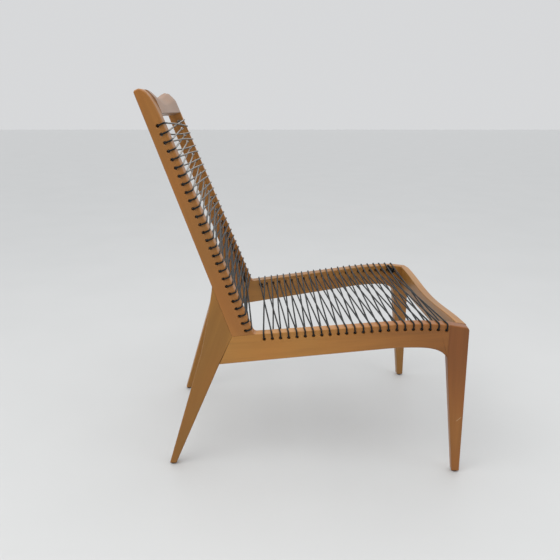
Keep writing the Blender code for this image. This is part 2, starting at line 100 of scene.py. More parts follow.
CREST_DIP = 0.014
CREST_TOP_DROP = 0.001
CREST_TOP_SET = 0.010
CREST_BROW_DROP = 0.018
CREST_BACK_DROP = 0.0015
FRONT_RAIL_STOCK = 0.023
FRONT_RAIL_DEPTH = 0.059
FRONT_RAIL_DIP = 0.013
FRONT_RAIL_SETBACK = 0.001
REAR_RAIL_STOCK = 0.018
REAR_RAIL_DEPTH = 0.044
REAR_RAIL_INSET = 0.026
REAR_RAIL_RISE = 0.024
CORD = 0.0036
HOLE = 0.007
HOLE_INSET = 0.013
PITCH = 0.01815
SEAT_FIRST = 0.018
SEAT_LAST = 0.0055
BACK_FIRST = 0.0215
BACK_LAST = 0.0125
CORD_STANDOFF = 0.0006
CORD_CLEARANCE = 0.0003
CROWDED = 0.6               # nearer to the last hole than this share of a pitch, a hole is left out
GLIDE = 0.013
GLIDE_HEIGHT = 0.003
CHAMFER = 0.0025

# Fineness of the timber
EASE = 0.0032               # radius of the edges
EASE_STEPS = 5
TIP_EASE = 0.0006           # what is left of it at a thin tip
TIP_GROWTH = 0.22           # and how fast it grows away from the tip
GROOVE = 0.0005             # the joints' tiny bevels
FOOT_ROUND = 0.0025
LEG_TOP_ROUND = 0.008
TAIL_ROUND = 0.006
ROUND_LEFT = 0.0006         # least radius of a rounded corner on an inner ring
ROUND_LOSS = 0.9            # share of the inset that a rounded corner loses
CORNER_STEPS = 6
CURVE_STEPS = 14
PARALLEL = 0.02             # edges that turn less than this run on as one
SHARP = radians(40)
FLAT = 0.9999               # how squarely a plank's side faces out
CHAMFERED = 0.975           # and how much less a joint's chamfer does
HOLE_SIDES = 28
RIM = 0.0011                # rounded mouth of each hole
RIM_STEPS = 3
CUT_OVER = 0.002            # how far a hole's cutter stands out
RAIL_STATIONS = 49
SECTION_STEPS = 5
DIP_SPREAD = 1.2            # the dip reaches its full depth below a section's top

# Fineness of the cord
CORD_SIDES = 12
CORD_SHARP = radians(70)
BEND_STEPS = 6
ARM_SHARE = 0.48            # a bend takes at most this much of the run beside it
EDGE_TURN = 0.0075          # the cord's bend round the edge
MOUTH_TURN = 0.0045         # into its hole
INNER_TURN = 0.008          # and out of it again
LONG_TURN = 1.0             # a bend over the whole span
INNER_END = 0.001           # the inner bend's distance from the timber
DRIFT = 0.0009              # how far a turn sits off its hole's line, at most
STOP_END = 0.002            # how far from the inner face a cord starts, at its stop knot
TIE_END = 0.006             # and ends, where it is tied
TIE_FAR_END = 0.012         # or ends, where it comes across to the tie
STOP_KNOT_REACH = 0.0055    # from the inner face to the middle of a stop knot
STOP_KNOT_SIZE = 0.0015
STOP_KNOT_TAIL = 0.010
TIE_REACH = 0.0065          # from the inner face to the start of a tie
KNOT_STEPS = 44
KNOT_START = 0.25           # where on its closed curve a knot starts
KNOT_SHARE = 0.93           # and how much of the curve it follows
KNOT_DEPTH = 1.3
TAIL_STEPS = 4
TAIL_DROP = 0.35


# ---------------------------------------------------------------- outlines

def plane(u, z):
    return Vector((u, z))


def bend(start, corner, end, steps=CURVE_STEPS):
    """Points of a parabola from start to end, start left out."""
    points = []
    for step in range(1, steps + 1):
        f = step / steps
        points.append(start * (1 - f) ** 2 + corner * 2 * f * (1 - f) + end * f ** 2)
    return points


def on_line(a, b, u):
    """The point of the line through a and b at u."""
    return a.lerp(b, (u - a.x) / (b.x - a.x))


def joint_normal(a, b):
    """Square to the line from a to b, to its right."""
    run = (b - a).normalized()
    return plane(run.y, -run.x)


SEAT_CORNER = plane(SEAT_DEPTH, SEAT_REAR_HEIGHT)
BROW = plane(BROW_RUN, SEAT_FRONT_HEIGHT + BROW_RISE)
BROW_START = on_line(SEAT_CORNER, BROW, BROW_RUN + BROW_BEND)
LEG_TOP = plane(LEG_WIDTH, SEAT_FRONT_HEIGHT + LEG_TOP_RISE)
ARCH = plane(ARCH_RUN, SEAT_FRONT_HEIGHT - ARCH_DEPTH)
RAIL_UNDER = plane(SEAT_DEPTH, SEAT_REAR_HEIGHT - RAIL_DEPTH)
TRIPLE = SEAT_CORNER + (RAIL_UNDER - ARCH).normalized() * STILE_FOOT
MITRE_END = on_line(ARCH, RAIL_UNDER, TRIPLE.x + MITRE_RUN)
ARCH_START = on_line(ARCH, RAIL_UNDER, ARCH_RUN + ARCH_BEND)
ARCH_LEVEL = ARCH - plane(ARCH_BEND, 0)
ARCH_CORNER = plane(LEG_WIDTH + ARCH_CORNER_RUN, ARCH.y)
ARCH_END = plane(LEG_WIDTH, ARCH.y - ARCH_CORNER_DROP)

STILE_BASE = SEAT_CORNER + plane(STILE_TOE, 0)
STILE_UP = plane(sin(BACK_LEAN), cos(BACK_LEAN))
STILE_BACKWARD = plane(cos(BACK_LEAN), -sin(BACK_LEAN))
STILE_BACK_UP = plane(sin(STILE_BACK_LEAN), cos(STILE_BACK_LEAN))
LEG_HEAD = TRIPLE + STILE_BACK_UP * (LEG_RISE / cos(STILE_BACK_LEAN))
STILE_TAIL = TRIPLE + STILE_BACK_UP * ((BACK_HEIGHT - CROWN_FALL - TRIPLE.y) / cos(STILE_BACK_LEAN))
TIPS = (SEAT_CORNER, ARCH_END, LEG_HEAD)    # corners too thin to take the full easing


def stile_front(height):
    return STILE_BASE + STILE_UP * ((height - STILE_BASE.y) / STILE_UP.y)


def seat_edge():
    return [SEAT_CORNER, BROW_START] + bend(BROW_START, BROW, LEG_TOP)


def free(point, reach=0.0):
    """A point whose leaving edge is free. With a reach the corner is rounded over it."""
    return point, False, reach


def joint(point, reach=0.0):
    """A point whose leaving edge is glued to a neighbour."""
    return point, True, reach


def stile_outline():
    fillet_top = STILE_BASE + STILE_UP * STILE_FILLET
    crown_start = stile_front(BACK_HEIGHT - CROWN_RADIUS)
    crown_end = plane(STILE_TAIL.x - CROWN_FLAT, BACK_HEIGHT)
    crown = bend(crown_start, stile_front(BACK_HEIGHT), crown_end)
    outline = [joint(SEAT_CORNER), joint(TRIPLE), free(LEG_HEAD), free(STILE_TAIL, TAIL_ROUND)]
    outline += [free(p) for p in reversed(crown)]
    outline += [free(crown_start), free(fillet_top)]
    outline += [free(p) for p in bend(fillet_top, STILE_BASE, SEAT_CORNER, 6)[:-2]]
    return outline


def rail_outline():
    under = bend(ARCH_END, ARCH_CORNER, ARCH_LEVEL) + bend(ARCH_LEVEL, ARCH, ARCH_START)
    outline = [free(p) for p in [ARCH_END] + under]
    outline += [joint(MITRE_END), joint(TRIPLE)]
    outline += [free(p) for p in seat_edge()[:-1]]
    outline.append(joint(LEG_TOP))
    return outline


def front_leg_outline():
    toe = plane(-FRONT_FOOT_REACH, GLIDE_HEIGHT)
    return [free(toe, FOOT_ROUND), free(toe + plane(FRONT_FOOT_LENGTH, 0), FOOT_ROUND),
            joint(ARCH_END), free(LEG_TOP), free(plane(0, SEAT_FRONT_HEIGHT), LEG_TOP_ROUND)]


def rear_leg_outline():
    heel = plane(REAR_FOOT_REACH, GLIDE_HEIGHT)
    calf = plane(REAR_FOOT_REACH - CALF_REACH, CALF_HEIGHT)
    back = bend(calf, calf + plane(-HIP_REACH, HIP_RISE), LEG_HEAD)
    outline = [free(heel - plane(REAR_FOOT_LENGTH, 0), FOOT_ROUND), free(heel, FOOT_ROUND)]
    outline += [free(p) for p in [calf] + back[:-1]]
    outline += [joint(LEG_HEAD), joint(TRIPLE), free(MITRE_END)]
    return outline


# ---------------------------------------------------------------- placing

FOOT_FRONT = (1 - CHAMFER / STOCK) * FOOT_STOCK * sin(TOE_IN) + FRONT_FOOT_REACH * cos(TOE_IN)
TAIL_BACK = STILE_TAIL.x * cos(TOE_IN) - CHAMFER * sin(TOE_IN)
FRONT_Y = (FOOT_FRONT - TAIL_BACK) / 2


def side_matrix(side):
    corner = Matrix.Translation((side * FRONT_WIDTH / 2, FRONT_Y, 0))
    return corner @ Matrix.Rotation(side * TOE_IN, 4, "Z")


def flat(side, w, point):
    return Vector((-side * w, point.x, point.y))


def world(side, w, point):
    return side_matrix(side) @ flat(side, w, point)


def link(name, data, matrix=Matrix.Identity(4)):
    made = bpy.data.objects.new(name, data)
    bpy.context.collection.objects.link(made)
    made.matrix_world = matrix
    return made


def to_mesh(name, bm, sharp=SHARP):
    bmesh.ops.recalc_face_normals(bm, faces=bm.faces)
    if bm.calc_volume(signed=True) < 0:
        bmesh.ops.reverse_faces(bm, faces=bm.faces)
    mesh = bpy.data.meshes.new(name)
    bm.to_mesh(mesh)
    bm.free()
    mesh.shade_smooth()
    mesh.set_sharp_from_angle(angle=sharp)
    return mesh


def close_loops(bm, loops):
    """A closed skin over loops of vertices that follow each other."""
    bm.faces.new(loops[0])
    bm.faces.new(list(reversed(loops[-1])))
    for a, b in zip(loops, loops[1:]):
        for i in range(len(a)):
            j = (i + 1) % len(a)
            bm.faces.new((a[i], b[i], b[j], a[j]))


def finish_piece(piece, material, slot, *nodes):
    piece.data.materials.append(material)
    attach(piece, BODY)
    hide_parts(*nodes)


# ---------------------------------------------------------------- timber

def ease_at(point):
    """The edge's radius here: less near the thin tips of the pieces."""
    return min(EASE, TIP_EASE + TIP_GROWTH * min((point - tip).length for tip in TIPS))


def inset(outline, share, groove):
    """The outline's points moved in: free edges by a share of their radius, joints by a groove."""
    count = len(outline)
    points = []
    for i, (point, is_joint, reach) in enumerate(outline):
        before, arriving_joint, _ = outline[i - 1]
        after = outline[(i + 1) % count][0]
        run_in = (point - before).normalized()
        run_out = (after - point).normalized()
        normal_in = plane(-run_in.y, run_in.x)
        normal_out = plane(-run_out.y, run_out.x)
        move_in = groove if arriving_joint else ease_at(point) * share
        move_out = groove if is_joint else ease_at(point) * share
        cross = normal_in.x * normal_out.y - normal_in.y * normal_out.x
        if abs(cross) < PARALLEL:
            moved = point + (normal_in + normal_out).normalized() * max(move_in, move_out)
        else:
            x = (move_in * normal_out.y - move_out * normal_in.y) / cross
            y = (move_out * normal_in.x - move_in * normal_out.x) / cross
            moved = point + plane(x, y)
        if reach:
            reach = max(reach - EASE * share * ROUND_LOSS, ROUND_LEFT)
        points.append((moved, reach))
    return points


def rounded_corners(points):
    """Each corner with a reach as a bend over it."""
    count = len(points)
    made = []
    for i, (point, reach) in enumerate(points):
        if not reach:
            made.append(point)
            continue
        start = point + (points[i - 1][0] - point).normalized() * reach
        end = point + (points[(i + 1) % count][0] - point).normalized() * reach
        made += [start] + bend(start, point, end, CORNER_STEPS)
    return made


def plank_rings(outline):
    """(w from the face, points) of each ring round a face, from the face to the edge's side."""
    rings = []
    for step in range(EASE_STEPS + 1):
        turn = step / EASE_STEPS * pi / 2
        groove = GAP / 2 + (GROOVE if step == 0 else 0.0)
        points = rounded_corners(inset(outline, 1 - sin(turn), groove))
        rings.append((EASE * (1 - cos(turn)), points))
    return rings


def thin_downward(bm, taper_from):
    """Below taper_from the piece thins from its inner face to FOOT_STOCK at the floor."""
    everything = bm.verts[:] + bm.edges[:] + bm.faces[:]
    bmesh.ops.bisect_plane(
        bm, geom=everything, dist=1e-6, plane_co=(0, 0, taper_from), plane_no=(0, 0, 1))
    for vert in bm.verts:
        below = max(0.0, (taper_from - vert.co.z) / (taper_from - GLIDE_HEIGHT))
        vert.co.x *= 1 - (1 - FOOT_STOCK / STOCK) * below


def add_plank(name, side, outline, holes=(), taper_from=None):
    bm = bmesh.new()
    rings = plank_rings(outline)
    loops = [[bm.verts.new(flat(side, w, p)) for p in points] for w, points in rings]
    for w, points in reversed(rings):
        loops.append([bm.verts.new(flat(side, STOCK - w, p)) for p in points])
    close_loops(bm, loops)
    if taper_from:
        thin_downward(bm, taper_from)
    plank = link(name, to_mesh(name, bm), side_matrix(side))
    if holes:
        drill(plank, side, holes)
    part_flat_faces(plank.data)
    flatten_shading(plank)
    return plank


def part_flat_faces(mesh):
    """Makes an edge sharp where a flat side meets a joint's narrow chamfer, so no shade runs in."""
    bm = bmesh.new()
    bm.from_mesh(mesh)
    for edge in bm.edges:
        if len(edge.link_faces) != 2:
            continue
        one, other = sorted(abs(face.normal.x) for face in edge.link_faces)
        if other > FLAT and one < CHAMFERED:
            edge.smooth = False
    bm.to_mesh(mesh)
    bm.free()


def flatten_shading(piece):
    """Lets the large faces decide the shading of the eased edges beside them."""
    weighted = piece.modifiers.new("face shading", "WEIGHTED_NORMAL")
    weighted.mode = "FACE_AREA"
    weighted.weight = 100
    weighted.keep_sharp = True


def drill(plank, side, holes):
    """Cuts the lacing holes, each with rounded mouths."""
    bm = bmesh.new()
    radius = HOLE / 2
    profile = [(-CUT_OVER, radius + RIM)]
    for step in range(RIM_STEPS + 1):
        turn = step / RIM_STEPS * pi / 2
        profile.append((RIM * (1 - cos(turn)), radius + RIM * (1 - sin(turn))))
    profile += [(STOCK - w, r) for w, r in reversed(profile)]
    turns = [2 * pi * k / HOLE_SIDES for k in range(HOLE_SIDES)]
    for centre in holes:
        loops = []
        for w, r in profile:
            ring = [centre + plane(cos(a), sin(a)) * r for a in turns]
            loops.append([bm.verts.new(flat(side, w, p)) for p in ring])
        close_loops(bm, loops)
    cutter = link(plank.name + "_cutter", to_mesh(plank.name + "_cutter", bm), side_matrix(side))
    modifier = plank.modifiers.new("holes", "BOOLEAN")
    modifier.object = cutter
    modifier.solver = "MANIFOLD"
    apply_modifiers(plank)
    bpy.data.objects.remove(cutter)


def apply_modifiers(piece):
    """The modifiers' result becomes the mesh, without the empty material slot that comes along."""
    bpy.context.view_layer.update()
    evaluated = piece.evaluated_get(bpy.context.evaluated_depsgraph_get())
    mesh = bpy.data.meshes.new_from_object(evaluated)
    mesh.materials.clear()
    piece.modifiers.clear()
    piece.data = mesh
    mesh.polygons.foreach_set("material_index", [0] * len(mesh.polygons))
    mesh.shade_smooth()
    mesh.set_sharp_from_angle(angle=SHARP)


# ---------------------------------------------------------------- cross rails

def inner_x(side, y):
    """Where a cross rail meets a side frame's inner face."""
    return side * (FRONT_WIDTH / 2 - (STOCK + GAP + (y - FRONT_Y) * sin(TOE_IN)) / cos(TOE_IN))


def section_point(point):
    """(y, z) of a side frame's point on its inner face."""
    return Vector((FRONT_Y + point.x * cos(TOE_IN) - STOCK * sin(TOE_IN), point.y))


def rounded_section(corners, radii):
    """The section's (y, z) outline with each corner rounded, and which points sink in a dip."""
    points = []
    for i, (corner, sinks) in enumerate(corners):
        before, after = corners[i - 1][0], corners[(i + 1) % len(corners)][0]
        radius = radii[i]
        start = corner + (before - corner).normalized() * radius
        end = corner + (after - corner).normalized() * radius
        points += [(p, sinks) for p in [start] + bend(start, corner, end, SECTION_STEPS)]
    return points


def add_cross_rail(name, outline, dip=0.0, stations=RAIL_STATIONS):
    bm = bmesh.new()
    low = min(p.y for p, _ in outline)
    high = max(p.y for p, _ in outline)
    rings = []
    for station in range(stations):
        f = station / (stations - 1)
        sink = dip * (1 + cos(pi * (2 * f - 1))) / 2
        ring = []
        for point, sinks in outline:
            share = (point.y - low) / (high - low) if sinks else 0.0
            x = inner_x(RIGHT, point.x) * (1 - f) + inner_x(LEFT, point.x) * f
            ring.append(bm.verts.new((x, point.x, point.y - sink * min(1.0, share * DIP_SPREAD))))
        rings.append(ring)
    close_loops(bm, rings)
    rail = link(name, to_mesh(name, bm))
    flatten_shading(rail)
    return rail


def crest_rail():
    low = stile_front(BACK_HEIGHT - CREST_DEPTH)
    low_back = low + STILE_BACKWARD * CREST_STOCK
    brow = stile_front(BACK_HEIGHT - CREST_BROW_DROP)
    top = plane(stile_front(BACK_HEIGHT).x + CREST_TOP_SET, BACK_HEIGHT - CREST_TOP_DROP)
    behind = low_back + STILE_UP * ((BACK_HEIGHT - CREST_BACK_DROP - low_back.y) / STILE_UP.y)
    corners = [(low, False), (low_back, False), (behind, True), (top, True), (brow, True)]
    corners = [(section_point(p), sinks) for p, sinks in corners]
    outline = rounded_section(corners, (0.002, 0.002, 0.003, 0.004, 0.006))
    return add_cross_rail("crest", outline, CREST_DIP)


def front_rail():
    front = FRONT_RAIL_SETBACK
    back = front + FRONT_RAIL_STOCK
    bottom = SEAT_FRONT_HEIGHT - FRONT_RAIL_DEPTH
    line = (plane(0, SEAT_FRONT_HEIGHT), LEG_TOP)
    corners = [(plane(front, bottom), False), (plane(back, bottom), False),
               (on_line(*line, back), True), (on_line(*line, front), True)]
    corners = [(section_point(p), sinks) for p, sinks in corners]
    outline = rounded_section(corners, (0.002, 0.002, 0.003, 0.004))
    return add_cross_rail("seat_front", outline, FRONT_RAIL_DIP)


def rear_rail():
    out = joint_normal(TRIPLE, LEG_HEAD)
    middle = TRIPLE + STILE_BACK_UP * REAR_RAIL_RISE + out * REAR_RAIL_INSET
    up = STILE_BACK_UP * (REAR_RAIL_DEPTH / 2)
    out = out * (REAR_RAIL_STOCK / 2)
    corners = [(section_point(p), False) for p in (middle - up - out, middle - up + out,
                                                   middle + up + out, middle + up - out)]
    return add_cross_rail("back_brace", rounded_section(corners, (0.0025,) * 4), stations=9)


# ---------------------------------------------------------------- lacing

def seat_holes():
    """(centre, direction to the edge) of each hole, from the rear to the front."""
    edge = seat_edge()
    last = LEG_WIDTH + SEAT_LAST
    places = []
    u = SEAT_DEPTH - SEAT_FIRST
    while u > last + CROWDED * PITCH:
        places.append(u)
        u -= PITCH
    places.append(last)
    holes = []
    for u in places:
        for a, b in zip(edge, edge[1:]):
            if b.x <= u <= a.x:
                normal = joint_normal(b, a) * -1
                holes.append((on_line(a, b, u) - normal * HOLE_INSET, normal))
                break
    return holes


def back_holes():
    """(centre, direction to the edge) of each hole, from the crest rail down."""
    first = (BACK_HEIGHT - CREST_DEPTH - STILE_BASE.y) / STILE_UP.y - BACK_FIRST
    count = floor((first - BACK_LAST) / PITCH) + 1
    holes = []
    for number in range(count):
        edge = STILE_BASE + STILE_UP * (first - number * PITCH)
        holes.append((edge + STILE_BACKWARD * HOLE_INSET, STILE_BACKWARD * -1))
    return holes


def wrap(side, hole, drift):
    """(point, bend reach) of the cord's way over the edge, down the outer face and in."""
    centre, to_edge = hole
    along = plane(-to_edge.y, to_edge.x) * drift
    stand = CORD / 2 + CORD_STANDOFF
    over = centre + to_edge * (HOLE_INSET + stand) + along
    mouth = centre + to_edge * (HOLE / 2 - stand)
    return [
        (world(side, -stand, over), EDGE_TURN),
        (world(side, -stand, mouth), MOUTH_TURN),
        (world(side, STOCK + INNER_END, centre), INNER_TURN)]


def crossing_point(start, end, lift):
    """The middle of a span, moved aside so that the two cords pass each other."""
    run = end - start
    square = Vector((0, -run.z, run.y)).normalized()
    if square.z < 0:
        square.negate()
    return (start + end) / 2 + square * lift


def lacing_route(holes, first_side, lift, tie_side, rng):
    """The corners of one cord: from its stop knot, a hole at a time, to the tie."""
    route = []
    side = first_side
    for number, hole in enumerate(holes):
        way = wrap(side, hole, rng.uniform(-DRIFT, DRIFT))
        if number == 0:
            way = list(reversed(way))
            way[0] = (world(side, STOCK + STOP_END, hole[0]), 0.0)
        else:
            # The bend passes about halfway to its corner, so the corner is lifted twice as far
            middle = crossing_point(route[-1][0], way[0][0], 2 * lift)
            route.append((middle, LONG_TURN))
        route += way
        side = -side
    last_side, last_hole = -side, holes[-1][0]
    if last_side == tie_side:
        route[-1] = (world(tie_side, STOCK + TIE_END, last_hole), 0.0)
    else:
        route.append((world(tie_side, STOCK + TIE_FAR_END, last_hole), 0.0))
    return route


def rounded_route(route):
    """The route's corners as bends, each no longer than its corner's reach."""
    points = [route[0][0]]
    for (a, _), (corner, reach), (b, _) in zip(route, route[1:], route[2:]):
        into, out = a - corner, b - corner
        reach_in = min(reach, into.length * ARM_SHARE)
        reach_out = min(reach, out.length * ARM_SHARE)
        start = corner + into.normalized() * reach_in
        end = corner + out.normalized() * reach_out
        points.append(start)
        points += bend(start, corner, end, 2 * BEND_STEPS if reach == LONG_TURN else BEND_STEPS)
    points.append(route[-1][0])
    return points


def frames_along(points):
    """(point, side, up, length so far) along a line, without twist."""
    tangent = (points[1] - points[0]).normalized()
    side = tangent.orthogonal().normalized()
    length = 0.0
    for i, point in enumerate(points):
        before = points[max(0, i - 1)]
        after = points[min(len(points) - 1, i + 1)]
        new_tangent = (after - before).normalized()
        side = tangent.rotation_difference(new_tangent) @ side
        side = (side - new_tangent * side.dot(new_tangent)).normalized()
        tangent = new_tangent
        length += (point - before).length
        yield point, side, tangent.cross(side), length


def sweep(bm, points, radius):
    """A tube along the points, capped at its ends. Its length and turn are kept for the braid.

    Each ring's first point is doubled, because the turn starts again there.
    """
    along = bm.verts.layers.float.get("along") or bm.verts.layers.float.new("along")
    turned = bm.verts.layers.float.get("turned") or bm.verts.layers.float.new("turned")
    rings = []
    for point, side, up, length in frames_along(points):
        ring = []
        for k in range(CORD_SIDES + 1):
            angle = 2 * pi * k / CORD_SIDES
            vert = bm.verts.new(point + (side * cos(angle) + up * sin(angle)) * radius)
            vert[along] = length
            vert[turned] = k / CORD_SIDES
            ring.append(vert)
        rings.append(ring)
    for a, b in zip(rings, rings[1:]):
        for k in range(CORD_SIDES):
            bm.faces.new((a[k], a[k + 1], b[k + 1], b[k]))
    bm.faces.new(rings[0][:-1])
    bm.faces.new(list(reversed(rings[-1][:-1])))


def cord_object(name, routes):
    bm = bmesh.new()
    for points in routes:
        sweep(bm, points, CORD / 2)
    return link(name, to_mesh(name, bm, CORD_SHARP))


def add_cord(panel, number, holes, first_side, material):
    rng = random.Random("%s %d" % (panel, number))
    lift = (CORD / 2 + CORD_CLEARANCE) * (1 if first_side == RIGHT else -1)
    route = lacing_route(holes, first_side, lift, LEFT, rng)
    name = "%s_lacing_%d" % (panel, number)
    cord = cord_object(name, [rounded_route(route)])
    finish_piece(cord, material, "cord", "%s_cord_%d" % (panel, number))


def overhand(middle, axis, size, tail, spin=0.0):
    """An overhand knot round the axis, with a tail: points of its line. It is 6 sizes across."""
    turn = axis.to_track_quat("Z", "Y").to_matrix() @ Matrix.Rotation(spin, 3, "Z")
    points = []
    for step in range(KNOT_STEPS + 1):
        t = KNOT_START + 2 * pi * KNOT_SHARE * step / KNOT_STEPS
        local = Vector((sin(t) + 2 * sin(2 * t), cos(t) - 2 * cos(2 * t), -KNOT_DEPTH * sin(3 * t)))
        points.append(middle + turn @ (local * size))
    last = points[-1]
    away = (last - points[-3]).normalized()
    for step in range(1, TAIL_STEPS + 1):
        f = step / TAIL_STEPS
        drop = Vector((0, 0, -TAIL_DROP)) * f ** 2
        points.append(last + (away + drop) * (tail * f))
    return points


def add_knots(panel, holes, material):
    for side in (RIGHT, LEFT):
        inward = (world(side, 1, holes[0][0]) - world(side, 0, holes[0][0])).normalized()
        middle = world(side, STOCK + STOP_KNOT_REACH, holes[0][0])
        name = "%s_stop_knot_%s" % (panel, SIDE_NAMES[side])
        line = overhand(middle, inward, STOP_KNOT_SIZE, STOP_KNOT_TAIL)
        knot = cord_object(name + "_fine", [line])
        finish_piece(knot, material, "cord", name)
    add_tie(panel, holes, material)


def add_tie(panel, holes, material):
    """A panel's two cords tied together: knots on each other, with loose ends.

    Each lump is (middle, axis, size, tail, spin). The seat's tie is bulky and lies over the cords.
    """
    centre, to_edge = holes[-1]
    inward = (world(LEFT, 1, centre) - world(LEFT, 0, centre)).normalized()
    upward = (world(LEFT, 0, centre + to_edge) - world(LEFT, 0, centre)).normalized()
    back = upward.cross(inward)
    if back.dot(world(LEFT, 0, holes[0][0]) - world(LEFT, 0, centre)) < 0:
        back.negate()
    start = world(LEFT, STOCK + TIE_REACH, centre)
    if panel == "seat":
        lumps = [(start + back * 0.006 + inward * 0.005 + upward * 0.002, inward, 0.0025, 0.008, 0.0),
                 (start + back * 0.014 + inward * 0.010 + upward * 0.007, upward, 0.0025, 0.010, 1.0),
                 (start + back * 0.021 + inward * 0.008 + upward * 0.012, back, 0.0024, 0.009, 2.2)]
    else:
        lumps = [(start - upward * 0.004, inward, 0.0021, 0.008, 0.0),
                 (start + back * 0.006 - upward * 0.006, upward, 0.0020, 0.008, 1.0)]
    tie = cord_object(panel + "_tie_fine", [overhand(*lump) for lump in lumps])
    finish_piece(tie, material, "cord", panel + "_tie_knot")


# ---------------------------------------------------------------- glides

def add_glide(name, side, foot, material):
    rim, top = GLIDE / 2, GLIDE_HEIGHT - GAP
    profile = [(0.0, 0.0003), (0.0018, 0.0002), (0.0024, 0.0), (rim - 0.0014, 0.0),
               (rim - 0.0004, 0.0004), (rim, 0.0012), (rim, top - 0.0004), (rim - 0.0003, top),
               (0.0, top)]
    bm = bmesh.new()
    verts = [bm.verts.new((r, 0, z)) for r, z in profile]
    edges = [bm.edges.new(pair) for pair in zip(verts, verts[1:])]
    bmesh.ops.spin(bm, geom=verts + edges, axis=(0, 0, 1), cent=(0, 0, 0), steps=32, angle=2 * pi)
    bmesh.ops.remove_doubles(bm, verts=bm.verts, dist=1e-6)
    place = Matrix.Translation(world(side, FOOT_STOCK / 2, plane(foot, 0)))
    glide = link(name + "_pad", to_mesh(name, bm), place)
    finish_piece(glide, material, "glide", name)


# ---------------------------------------------------------------- materials

class Graph:
    """A small helper to write the nodes of a material or a world as expressions."""

    def __init__(self, owner, shader):
        owner.use_nodes = True
        self.owner = owner
        self.nodes = owner.node_tree.nodes
        self.links = owner.node_tree.links
        self.shader = self.nodes[shader]

    def node(self, kind, **settings):
        made = self.nodes.new(kind)
        for key, value in settings.items():
            setattr(made, key, value)
        return made

    def feed(self, socket, value):
        if isinstance(value, bpy.types.NodeSocket):
            self.links.new(value, socket)
        else:
            socket.default_value = value

    def math(self, operation, a, b=0.0, clamp=False):
        made = self.node("ShaderNodeMath", operation=operation, use_clamp=clamp)
        self.feed(made.inputs[0], a)
        self.feed(made.inputs[1], b)
        return made.outputs[0]

    def mix(self, factor, a, b, blend="MIX"):
        """Inputs 6 and 7 and output 2 are the node's colours."""
        made = self.node("ShaderNodeMix", data_type="RGBA", blend_type=blend)
        self.feed(made.inputs["Factor"], factor)
        self.feed(made.inputs[6], a)
        self.feed(made.inputs[7], b)
        return made.outputs[2]

    def mapped(self, scale, rotation=(0, 0, 0), offset=(0, 0, 0)):
        """Object coordinates turned so that the piece's grain runs along Z, then scaled."""
        coordinates = self.node("ShaderNodeTexCoord").outputs["Object"]
        turn = self.node("ShaderNodeMapping")
        turn.inputs["Rotation"].default_value = rotation
        turn.inputs["Location"].default_value = offset
        self.feed(turn.inputs["Vector"], coordinates)
        stretch = self.node("ShaderNodeMapping")
        stretch.inputs["Scale"].default_value = scale
        self.feed(stretch.inputs["Vector"], turn.outputs[0])
        return stretch.outputs[0]

    def noise(self, vector, scale, detail=4.0, roughness=0.5, distortion=0.0):
        made = self.node("ShaderNodeTexNoise")
        self.feed(made.inputs["Vector"], vector)
        made.inputs["Scale"].default_value = scale
        made.inputs["Detail"].default_value = detail
        made.inputs["Roughness"].default_value = roughness
        made.inputs["Distortion"].default_value = distortion
        return made.outputs["Fac"]

    def part(self, vector, axis):
        made = self.node("ShaderNodeSeparateXYZ")
        self.feed(made.inputs[0], vector)
        return made.outputs[axis]

    def ramp(self, value, low, high, to_low=0.0, to_high=1.0):
        made = self.node("ShaderNodeMapRange", interpolation_type="SMOOTHSTEP")
        self.feed(made.inputs["Value"], value)
        made.inputs["From Min"].default_value = low
        made.inputs["From Max"].default_value = high
        made.inputs["To Min"].default_value = to_low
        made.inputs["To Max"].default_value = to_high
        return made.outputs["Result"]

    def fading(self, value, low, high):
        return self.math("SUBTRACT", 1.0, self.ramp(value, low, high))

    def bump(self, height, strength, distance):
        made = self.node("ShaderNodeBump")
        made.inputs["Strength"].default_value = strength
        made.inputs["Distance"].default_value = distance
        self.feed(made.inputs["Height"], height)
        self.feed(self.shader.inputs["Normal"], made.outputs[0])


def material_graph(name):
    return Graph(bpy.data.materials.new(name), "Principled BSDF")


def rgba(colour):
    return (*colour, 1.0)


def shade(colour, factor):
    return tuple(c * factor for c in colour)


SCRATCH_START = Vector((0.0130, 0.1300))     # on the near front leg: back from its front, and up
SCRATCH_END = Vector((0.0010, 0.1415))


def leg_marks(g, colour):
    """The near front leg pales towards its foot, and a light scratch crosses it."""
    place = g.node("ShaderNodeTexCoord").outputs["Object"]
    pale = g.fading(g.part(place, "Z"), 0.05, 0.33)
    colour = g.mix(pale, colour, rgba((1.55, 1.80, 1.75)), "MULTIPLY")
    run = SCRATCH_END - SCRATCH_START
    way = run.normalized()
    forward = g.math("SUBTRACT", g.part(place, "Y"), SCRATCH_START.x)
    upward = g.math("SUBTRACT", g.part(place, "Z"), SCRATCH_START.y)
    along = g.math("ADD", g.math("MULTIPLY", forward, way.x), g.math("MULTIPLY", upward, way.y))
    across = g.math("SUBTRACT", g.math("MULTIPLY", forward, way.y), g.math("MULTIPLY", upward, way.x))
    on_scratch = g.fading(g.math("ABSOLUTE", across), 0.0003, 0.0010)
    from_middle = g.math("ABSOLUTE", g.math("SUBTRACT", along, run.length / 2))
    past_end = g.ramp(from_middle, run.length * 0.35, run.length / 2)
    bare = g.math("SUBTRACT", on_scratch, past_end, clamp=True)
    return g.mix(g.math("MULTIPLY", bare, 0.8), colour, rgba((0.52, 0.36, 0.20)))


def rail_tone(g, colour):
    """The near side rail darkens and reddens towards its front."""
    back = g.part(g.node("ShaderNodeTexCoord").outputs["Object"], "Y")
    colour = g.mix(1.0, colour, rgba((1.26, 1.26, 1.20)), "MULTIPLY")
    front = g.fading(back, 0.03, 0.42)
    return g.mix(front, colour, rgba((0.63, 0.50, 0.47)), "MULTIPLY")


